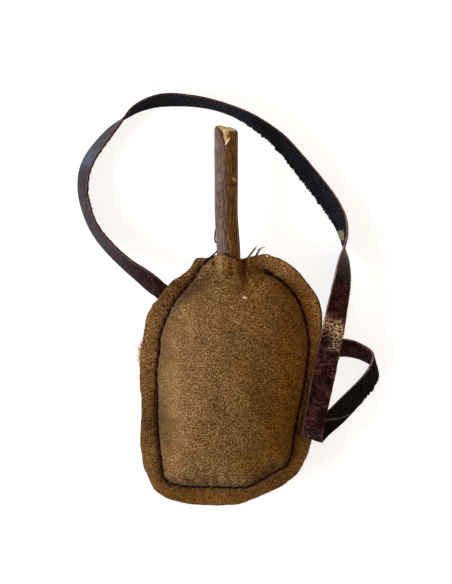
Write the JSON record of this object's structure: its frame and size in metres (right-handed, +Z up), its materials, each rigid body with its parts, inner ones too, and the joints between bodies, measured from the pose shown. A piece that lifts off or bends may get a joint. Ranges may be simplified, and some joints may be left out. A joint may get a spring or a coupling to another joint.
{
  "type": "drum stick bag",
  "caption": "Small stuffed suede bag, stitched round its edge, holding a bark-covered stick in its mouth, with one long flat leather strap sewn into both side seams.",
  "frame": {"origin": "bottom centre of the bounding box of the bag and its stick, lying on its back; the strap isn't counted", "axes": "+Y from the bag's closed end towards the tip of the stick, +Z up through the bag's thickness, from the back panel to the front panel, +X to the right seen from the front"},
  "size_m": [0.1282, 0.1751, 0.0269],
  "materials": {
    "suede_front": "napped suede",
    "suede_back": "napped suede",
    "filling": "loose fibre",
    "wood": "bare, matt",
    "bark": "thin bark, satin",
    "thread": "waxed thread",
    "strap_leather": "glossy, crackled grain side"
  },
  "bodies": {
    "bag": {"front_panel": "suede_front", "back_panel": "suede_back", "fibre_filling": "filling", "needle_thread": "thread", "bobbin_thread": "thread", "strap": "strap_leather"},
    "stick": {"stick_wood": "wood", "stick_bark": "bark"}
  },
  "joints": [
    {"name": "stick_slide", "type": "slide", "parent": "bag", "child": "stick", "axis": [0, 0.9976, 0.0698], "range_m": [0, 0.055]}
  ]
}
